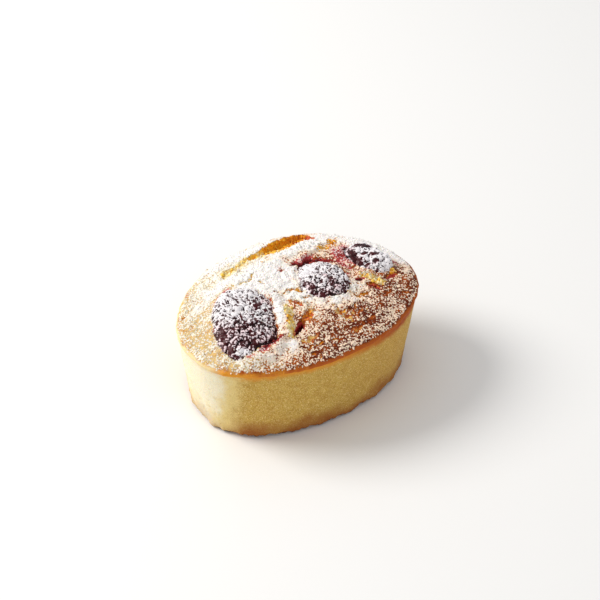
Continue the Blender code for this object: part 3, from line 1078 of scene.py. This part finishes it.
# %% Adding nodes
def feed(tree, socket, value):
    """Link a wire or another node's socket to a socket, or set the socket to a value."""
    if isinstance(value, Wire):
        value = value.socket
    if isinstance(value, bpy.types.NodeSocket):
        tree.links.new(value, socket)
    elif socket.type == "RGBA" and len(value) == 3:
        socket.default_value = (*value, 1.0)
    else:
        socket.default_value = value


def add_node(tree, kind, settings=None, sockets=None):
    """Add a node: its settings first, then the value or the link of each of its sockets."""
    node = tree.nodes.new(kind)
    for name, value in (settings or {}).items():
        setattr(node, name, value)
    for name, value in (sockets or {}).items():
        feed(tree, node.inputs[name], value)
    return node


# %% Shader sums
class Wire:
    """One shader socket. Sums on wires add Math nodes."""

    def __init__(self, finish, socket):
        self.finish = finish
        self.socket = socket

    def maths(self, operation, *values):
        """Add a Math node on some values."""
        sockets = dict(enumerate(values))
        return self.finish.node("ShaderNodeMath", {"operation": operation}, sockets)

    def __add__(self, other):
        return self.maths("ADD", self, other)

    __radd__ = __add__

    def __sub__(self, other):
        return self.maths("SUBTRACT", self, other)

    def __rsub__(self, other):
        return self.maths("SUBTRACT", other, self)

    def __mul__(self, other):
        return self.maths("MULTIPLY", self, other)

    __rmul__ = __mul__

    def rise(self, low, high):
        """0 where the value is low, 1 where it is high, with a soft start and end."""
        sockets = {"Value": self, "From Min": low, "From Max": high}
        return self.finish.node("ShaderNodeMapRange", {"interpolation_type": "SMOOTHSTEP"}, sockets)

    def across(self, span):
        """0 where a span in millimetres starts, 1 where it ends."""
        start, end = span
        return self.rise(start * MM, end * MM)


# %% [markdown]
# `Finish` starts a material from the Principled shader. What is the same all over a piece is set on
# the shader's own sockets, and what varies is built up from noise, from the place on the piece and
# from the numbers kept on its mesh.

# %% A material to build on
class Finish:
    """A Principled material, with short names for the nodes that this cake needs."""

    def __init__(self, name, constants):
        self.material = bpy.data.materials.new(name)
        self.material.use_nodes = True
        self.tree = self.material.node_tree
        self.shader = self.tree.nodes["Principled BSDF"]
        self.set(constants)
        self.place = self.node("ShaderNodeTexCoord", out="Object")

    def set(self, sockets):
        """Set or link some of the shader's sockets."""
        for name, value in sockets.items():
            feed(self.tree, self.shader.inputs[name], value)

    def node(self, kind, settings=None, sockets=None, out=0):
        """Add any node, and return one of its outputs."""
        return Wire(self, add_node(self.tree, kind, settings, sockets).outputs[out])

    def along(self, axis):
        """The place on the piece along X, Y or Z, in metres."""
        return self.node("ShaderNodeSeparateXYZ", sockets={0: self.place}, out=axis)

    def field(self, name):
        """One of the numbers kept on the mesh."""
        return self.node("ShaderNodeAttribute", {"attribute_name": name}, out="Fac")

    def grain(self, size, detail=2.0, roughness=0.5):
        """Uneven values from 0 to 1, about 0.5, in lumps of a size in millimetres."""
        sockets = {
            "Vector": self.place,
            "Scale": 1.0 / (size * MM),
            "Detail": detail,
            "Roughness": roughness,
        }
        return self.node("ShaderNodeTexNoise", sockets=sockets, out="Fac")

    def cells(self, size):
        """Distance to the middle of the nearest of many round cells of a size in millimetres."""
        sockets = {"Vector": self.place, "Scale": 1.0 / (size * MM)}
        return self.node("ShaderNodeTexVoronoi", sockets=sockets, out="Distance")

    def mix(self, share, first, second):
        """Blend two colours."""
        sockets = {0: share, 6: first, 7: second}
        return self.node("ShaderNodeMix", {"data_type": "RGBA"}, sockets, out=2)

    def wear(self, colour, roughness, height, depth):
        """Join the finished colour, roughness and height to the shader."""
        bump = {"Height": height, "Distance": depth * MM, "Strength": 1.0}
        normal = self.node("ShaderNodeBump", sockets=bump, out="Normal")
        self.set({"Base Color": colour, "Roughness": roughness, "Normal": normal})


def soft(weight, radius, depth):
    """Shader settings that let light sink in, to a depth in millimetres times each radius."""
    return {
        "Subsurface Weight": weight,
        "Subsurface Radius": radius,
        "Subsurface Scale": depth * MM,
    }


# %% [markdown]
# ## The finish of the crust
# The crust is browned batter: gold at the left, tan in front and red-brown at the right. Over it
# come the torn crumb, the juice and the sugar, each with its own mask. Icing sugar on a crust is a
# fine speckle: noise and round cells of about half a millimetre, added up and cut at a level. The
# `sugar` attribute lifts the sum, so that the speckle closes into a white layer in the drifts.

# %% The crust's colours
CRUST_GOLD = (0.70, 0.45, 0.11)
CRUST_TAN = (0.42, 0.086, 0.008)
CRUST_BROWN = (0.13, 0.018, 0.004)
RIM_CREAM = (0.86, 0.70, 0.38)
RIM_GOLD = (0.78, 0.31, 0.030)
RIM_BROWN = (0.47, 0.105, 0.015)
CRUMB_CREAM = (0.98, 0.83, 0.48)
CRUMB_YELLOW = (0.95, 0.63, 0.10)
CRUMB_ORANGE = (0.86, 0.39, 0.02)
CRUMB_RUST = (0.50, 0.10, 0.012)
JUICE_PINK = (0.58, 0.080, 0.080)
JUICE_RED = (0.26, 0.018, 0.016)
# The darkest juice, which also paints the shade at the bottom of the deepest pits and cracks
DARK_JUICE_AND_PIT_SHADE = (0.07, 0.003, 0.004)
SUGAR_WHITE = (0.93, 0.895, 0.87)
SUGAR_CREAM = (0.91, 0.84, 0.71)
SUGAR_WARM = (0.99, 0.77, 0.59)
SUGAR_PINK = (0.95, 0.66, 0.64)
# Where each part starts and where it is full, in millimetres along the browning and in height
PALE_RIM = (-20.0, -26.0)
LIP = (30.0, 29.2)


def sugar_colour(finish):
    """White where sugar lies thick; where it is thin, the crust or the juice tints it."""
    tint = finish.mix(finish.field("toast").rise(0.2, 0.7), SUGAR_CREAM, SUGAR_WARM)
    tint = finish.mix(finish.field("juice").rise(0.3, 0.7), tint, SUGAR_PINK)
    return finish.mix(finish.field("sugar").rise(0.5, 0.75), tint, SUGAR_WHITE)


def make_crust_finish():
    """Crust, crumb, juice and sugar in one material."""
    constants = {**soft(0.10, (1.0, 0.5, 0.2), 0.8), "Specular IOR Level": 0.12}
    finish = Finish("baked_crust", constants)
    sugar, toast, bare, juice = (finish.field(name) for name in FIELDS)
    fine = finish.grain(0.34, 1.0)
    speck = finish.grain(0.66, 2.0, 0.6)
    clump = finish.grain(1.5, 2.0, 0.6)
    patch = finish.grain(2.6, 3.0)

    browning = toast + (patch - 0.5) * 0.5 + (speck - 0.5) * 0.6
    crust = finish.mix(browning.rise(0.05, 0.55), CRUST_GOLD, CRUST_TAN)
    crust = finish.mix(browning.rise(0.45, 0.95), crust, CRUST_BROWN)
    rim = finish.mix(toast.rise(0.45, 0.95), RIM_GOLD, RIM_BROWN)
    browning_way = finish.along("X") * BROWNING_ALONG.x + finish.along("Y") * BROWNING_ALONG.y
    rim = finish.mix(browning_way.across(PALE_RIM), rim, RIM_CREAM)
    on_lip = (finish.along("Z") + (patch - 0.5) * (1.5 * MM)).across(LIP)
    crust = finish.mix(on_lip, crust, rim)

    ripe = toast + (speck - 0.5) * 0.7 + (patch - 0.5) * 0.4
    crumb = finish.mix(ripe.rise(-0.15, 0.15), CRUMB_CREAM, CRUMB_YELLOW)
    crumb = finish.mix(ripe.rise(0.1, 0.55), crumb, CRUMB_ORANGE)
    crumb = finish.mix(ripe.rise(0.6, 1.1), crumb, CRUMB_RUST)
    colour = finish.mix((bare + (fine - 0.5) * 0.3).rise(0.3, 0.6), crust, crumb)
    stain = (juice + (speck - 0.5) * 0.6).rise(0.2, 0.5)
    colour = finish.mix(stain, colour, JUICE_PINK)
    colour = finish.mix((juice + (speck - 0.5) * 0.6).rise(0.45, 0.75), colour, JUICE_RED)
    # Nearly black where juice is strongest: a dark stain, and in the deepest pits and cracks also
    # painted shade
    colour = finish.mix((juice + (patch - 0.5) * 0.4).rise(0.75, 1.05), colour, DARK_JUICE_AND_PIT_SHADE)

    dust = sugar.rise(0.0, 0.8) * (0.36 - toast * 0.72)
    colour = finish.mix(dust, colour, SUGAR_WHITE)
    grains = 0.78 - finish.cells(0.62) * 0.55
    powder = (grains * 0.40 + speck * 0.45 + clump * 0.15 + sugar * 0.5).rise(0.705, 0.75)
    colour = finish.mix(powder, colour, sugar_colour(finish))
    relief = speck * 0.5 + fine * 0.4 + powder * 0.6
    finish.wear(colour, 0.70 - stain * 0.3 + powder * 0.15, relief, 0.26)
    return finish.material


crust.data.materials.append(make_crust_finish())

# %% [markdown]
# ## The finish of the side
# The tin kept the side pale: a soft gold crumb with lighter and darker flecks, browned in a band
# under the crust, which burns darker to the right, and along the bottom edge. The left end, where
# the lamp falls, is paler still: partly paler crumb and partly a painted highlight, and there the
# band, the dark flecks and the browned foot fade away.

# %% The side's colours
SIDE_GOLD = (0.62, 0.40, 0.085)
PALE_LIT_SIDE_GOLD = (0.84, 0.66, 0.28)
PALE_LIT_SIDE_CREAM = (0.94, 0.90, 0.74)
SIDE_DEEP = (0.46, 0.25, 0.045)
SIDE_TAN = (0.62, 0.33, 0.065)
SIDE_FLECK = (0.88, 0.68, 0.28)
BAND_ORANGE = (0.74, 0.29, 0.026)
BAND_RUST = (0.42, 0.080, 0.014)
BASE_BROWN = (0.30, 0.070, 0.011)
BASE_DARK = (0.09, 0.03, 0.012)
# Where each part starts and where it is full, in millimetres along X
# The left end: paler crumb together with a painted highlight where the lamp falls
PALE_LIT_PART = (-31.0, -35.5)
PALE_LIT_END = (-35.0, -38.5)
RIGHT_PART = (-14.0, 24.0)
# The same in height
LOW_PART = (9.0, 0.5)
DARKEST_FOOT = (1.2, 0.4)
BAND = (25.4, 28.3)


def make_side_finish():
    """Pale crumb, with its browned band and bottom edge, and a painted highlight on the left end."""
    constants = {**soft(0.15, (1.0, 0.6, 0.25), 0.8), "Specular IOR Level": 0.15}
    finish = Finish("moulded_side", constants)
    height = finish.along("Z")
    fine = finish.grain(0.33, 1.0)
    speck = finish.grain(0.9, 3.0, 0.65)
    patch = finish.grain(3.0, 3.0)
    cloud = finish.grain(9.0, 2.0)

    uneven = (patch - 0.5) * (4.0 * MM)
    # Masks of the left end, where paler crumb and a painted highlight stand together
    pale_lit_part = (finish.along("X") + uneven).across(PALE_LIT_PART)
    pale_lit_end = (finish.along("X") + uneven).across(PALE_LIT_END)
    right_part = finish.along("X").across(RIGHT_PART)
    colour = finish.mix((speck * 0.5 + patch * 0.5).rise(0.40, 0.62) * 0.6, SIDE_GOLD, SIDE_DEEP)
    colour = finish.mix(right_part * 0.5, colour, SIDE_TAN)
    # Paler crumb and a painted highlight towards the left end; the dark flecks, the browned foot and
    # the band fade there too
    colour = finish.mix(pale_lit_part * 0.85, colour, PALE_LIT_SIDE_GOLD)
    colour = finish.mix(pale_lit_end * 0.85, colour, PALE_LIT_SIDE_CREAM)
    colour = finish.mix(fine.rise(0.48, 0.30) * (0.85 - pale_lit_part * 0.6), colour, SIDE_DEEP)
    colour = finish.mix(fine.rise(0.53, 0.68) * 0.66, colour, SIDE_FLECK)
    low = (height + (cloud - 0.5) * (12.0 * MM) + uneven).across(LOW_PART)
    colour = finish.mix(low * (0.85 - pale_lit_part * 0.45), colour, BASE_BROWN)
    edge_height = height + (patch - 0.5) * (2.5 * MM)
    # Nearly black on the lowest millimetre of the foot
    darkest_foot = edge_height.across(DARKEST_FOOT) * 0.85
    colour = finish.mix(darkest_foot, colour, BASE_DARK)
    band = finish.mix(right_part, BAND_ORANGE, BAND_RUST)
    glow = (edge_height + right_part * (1.5 * MM)).across(BAND)
    colour = finish.mix(glow * (1.0 - pale_lit_part * 0.85), colour, band)
    finish.wear(colour, 0.68 + (speck - 0.5) * 0.3, speck * 0.5 + fine * 0.5, 0.20)
    return finish.material


side.data.materials.append(make_side_finish())

# %% [markdown]
# ## The finish of the berries
# The skin is a deep purple, nearly black and glossy, with a wine tint on the drupelets' domes,
# and it is kept blacker in the creases between them, which is painted shade. The `sugar` attribute
# says where the clumps of sugar are, and `haze` how much fine dust lies on the skin between them.

# %% The berries' colours
BERRY_BLACK = (0.012, 0.003, 0.005)
BERRY_WINE = (0.060, 0.004, 0.007)
BERRY_SUGAR_WHITE = (0.90, 0.87, 0.90)
BERRY_SUGAR_PINK = (0.84, 0.66, 0.70)


def make_berry_finish():
    """Dark skin, painted blacker in the creases as shade, with sugar on the domes."""
    finish = Finish("berry_skin", {"Specular IOR Level": 0.22})
    sugar = finish.field("sugar")
    haze = finish.field("haze")
    dome = finish.field("dome")
    fine = finish.grain(0.28, 1.0)
    speck = finish.grain(0.7, 2.0, 0.6)
    patch = finish.grain(4.0, 2.0)
    # Wine and black in random patches, and blacker in the creases: painted shade
    skin = finish.mix((patch + dome * 0.2).rise(0.4, 0.8), BERRY_BLACK, BERRY_WINE)
    dust = (fine * 0.6 + speck * 0.4 + haze * 0.25).rise(0.60, 0.72) * haze.rise(0.0, 0.5)
    colour = finish.mix(dust * 0.08, skin, BERRY_SUGAR_WHITE)
    powder = (sugar + (fine - 0.5) * 0.8).rise(0.30, 0.70)
    damp = finish.mix(haze.rise(0.06, 0.34), BERRY_SUGAR_PINK, BERRY_SUGAR_WHITE)
    colour = finish.mix(powder, colour, damp)
    finish.wear(colour, 0.36 + powder * 0.45, fine * 0.5 + speck * 0.4, 0.12)
    return finish.material


berry_finish = make_berry_finish()
for piece in berries.values():
    piece.data.materials.append(berry_finish)

# %% [markdown]
# ## Loose sugar and crumbs
# Sugar from a sieve clumps into grains that stand on the crust and catch the light, which paint
# alone doesn't do. Geometry Nodes spreads points over a surface with a least distance between
# them and puts a copy of one small lumpy grain on each. The copies are made real, so the
# piece is a plain mesh when it is done.

# %% How grains are spread
def grain_mesh(name, subdivisions, lumpiness, seed):
    """A small lumpy ball of radius 1, to be copied many times."""
    bm = bmesh.new()
    bmesh.ops.create_icosphere(bm, subdivisions=subdivisions, radius=1.0)
    for vert in bm.verts:
        vert.co *= 1.0 + lumpiness * noise.noise(vert.co * 1.7 + Vector((seed, 0.0, 0.0)))
    return smooth_mesh(bm, name)


def spreading_tree(name, pattern, field, gap, radii, seed):
    """Geometry Nodes that put copies of a pattern on a mesh, thickly where a field is high."""
    tree = bpy.data.node_groups.new(name, "GeometryNodeTree")
    for way in ("INPUT", "OUTPUT"):
        tree.interface.new_socket("Geometry", in_out=way, socket_type="NodeSocketGeometry")
    start = add_node(tree, "NodeGroupInput")
    read = add_node(tree, "GeometryNodeInputNamedAttribute", {"data_type": "FLOAT"}, {"Name": field})
    power = {0: read.outputs[0], 1: 2.0}
    share = add_node(tree, "ShaderNodeMath", {"operation": "POWER"}, power)
    spacing = {
        "Mesh": start.outputs[0],
        "Distance Min": gap * MM,
        "Density Max": 2.0 / (gap * MM) ** 2,
        "Density Factor": share.outputs[0],
        "Seed": seed,
    }
    poisson = {"distribute_method": "POISSON"}
    spread = add_node(tree, "GeometryNodeDistributePointsOnFaces", poisson, spacing)
    turns = {0: (0.0, 0.0, 0.0), 1: (math.tau, math.tau, math.tau), "Seed": seed}
    tumble = add_node(tree, "FunctionNodeRandomValue", {"data_type": "FLOAT_VECTOR"}, turns)
    sizes = {2: radii[0] * MM, 3: radii[1] * MM, "Seed": seed + 1}
    size = add_node(tree, "FunctionNodeRandomValue", {"data_type": "FLOAT"}, sizes)
    shape = add_node(tree, "GeometryNodeObjectInfo", sockets={"Object": pattern})
    placed = {
        "Points": spread.outputs["Points"],
        "Instance": shape.outputs["Geometry"],
        "Rotation": tumble.outputs[0],
        "Scale": size.outputs[1],
    }
    copies = add_node(tree, "GeometryNodeInstanceOnPoints", sockets=placed)
    made_real = {"Geometry": copies.outputs[0]}
    real = add_node(tree, "GeometryNodeRealizeInstances", sockets=made_real)
    add_node(tree, "NodeGroupOutput", sockets={"Geometry": real.outputs[0]})
    return tree


# %% Sprinkle grains
def sprinkle(name, ground, grain, field, finish, gap, radii, seed):
    """Spread copies of a grain over a mesh and make them one plain mesh."""
    pattern = bpy.data.objects.new(name + "_grain", grain)
    piece = add_object(name, ground.data.copy())
    modifier = piece.modifiers.new(name, "NODES")
    modifier.node_group = spreading_tree(name, pattern, field, gap, radii, seed)
    bpy.context.view_layer.update()
    evaluated = piece.evaluated_get(bpy.context.evaluated_depsgraph_get())
    mesh = bpy.data.meshes.new_from_object(evaluated)
    bpy.data.node_groups.remove(modifier.node_group)
    bpy.data.objects.remove(pattern)
    piece.modifiers.clear()
    piece.data = mesh
    mesh.name = name
    mesh.materials.clear()
    mesh.materials.append(finish)
    count_triangles(piece)
    return piece


def make_sugar_finish():
    """Icing sugar: white, matt, a little see-through at its edges."""
    constants = {**soft(0.25, (1.0, 1.0, 1.0), 0.3), "Specular IOR Level": 0.4}
    finish = Finish("icing_sugar", constants)
    lump = finish.grain(0.6, 2.0)
    finish.wear(sugar_colour(finish), 0.75 - lump * 0.2, lump, 0.1)
    return finish.material


# %% The sugar and the crumbs
# The least distance between grains and the range of their radii, in millimetres
CRUST_SUGAR = {"gap": 0.64, "radii": (0.20, 0.36), "seed": 5}
LOOSE_CRUMBS = {"gap": 1.1, "radii": (0.25, 0.60), "seed": 7}
FINE_SUGAR = {"gap": 0.75, "radii": (0.10, 0.20)}
FIRST_FINE_SEED = 11

powder = make_sugar_finish()
sugar_grain = grain_mesh("sugar_grain", 1, 0.35, 3.0)
loose_sugar = [sprinkle("sugar_on_crust", crust, sugar_grain, "sugar", powder, **CRUST_SUGAR)]

crumb_grain = grain_mesh("crumb_grain", 2, 0.7, 5.0)
crumb = crust.data.materials[0]
crumbs = sprinkle("crumbs", crust, crumb_grain, "bare", crumb, **LOOSE_CRUMBS)

for seed, piece in enumerate(berries.values(), FIRST_FINE_SEED):
    name = "sugar_on_" + piece.name
    loose_sugar.append(sprinkle(name, piece, sugar_grain, "sugar", powder, seed=seed, **FINE_SUGAR))

# %% [markdown]
# ## Floor, light and what rides on what
# The floor is plain and pale. One soft lamp stands to the left and a little behind, low enough to
# rake across the crust, and an even pale world fills the shade, as a white table and walls do.

# %% Floor and light
FLOOR_SIDE = 3.0
KEY_AZIMUTH = math.radians(-138.0)
KEY_ELEVATION = math.radians(40.0)
KEY_DISTANCE = 0.9
KEY_SIZE = 0.45
KEY_POWER = 6.6
KEY_COLOUR = (1.0, 0.97, 0.92)
WORLD_STRENGTH = 0.60
FLOOR_COLOUR = (0.93, 0.93, 0.93)


def make_floor():
    """A plain pale surface under the cake."""
    bm = bmesh.new()
    bmesh.ops.create_grid(bm, x_segments=1, y_segments=1, size=FLOOR_SIDE / 2.0)
    mesh = smooth_mesh(bm, "floor")
    finish = Finish("floor", {"Base Color": FLOOR_COLOUR, "Roughness": 0.9})
    mesh.materials.append(finish.material)
    return add_object("floor", mesh)


floor = make_floor()

key = add_object("key_light", bpy.data.lights.new("key_light", "AREA"))
key.data.shape = "DISK"
key.data.size = KEY_SIZE
key.data.energy = KEY_POWER
key.data.color = KEY_COLOUR
aim(key, sight + direction(KEY_AZIMUTH, KEY_ELEVATION) * KEY_DISTANCE, sight)

world = bpy.data.worlds.new("studio")
world.use_nodes = True
background = world.node_tree.nodes["Background"]
background.inputs["Color"].default_value = (1.0, 1.0, 1.0, 1.0)
background.inputs["Strength"].default_value = WORLD_STRENGTH
bpy.context.scene.world = world
bpy.context.scene.view_settings.view_transform = "Standard"

# %% Pieces and bodies
for piece in (crust, side):
    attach(piece, "root")
    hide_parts("cake")
for node, piece in berries.items():
    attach(piece, "root")
    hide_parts(node)
for piece in (*loose_sugar, crumbs):
    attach(piece, "root")
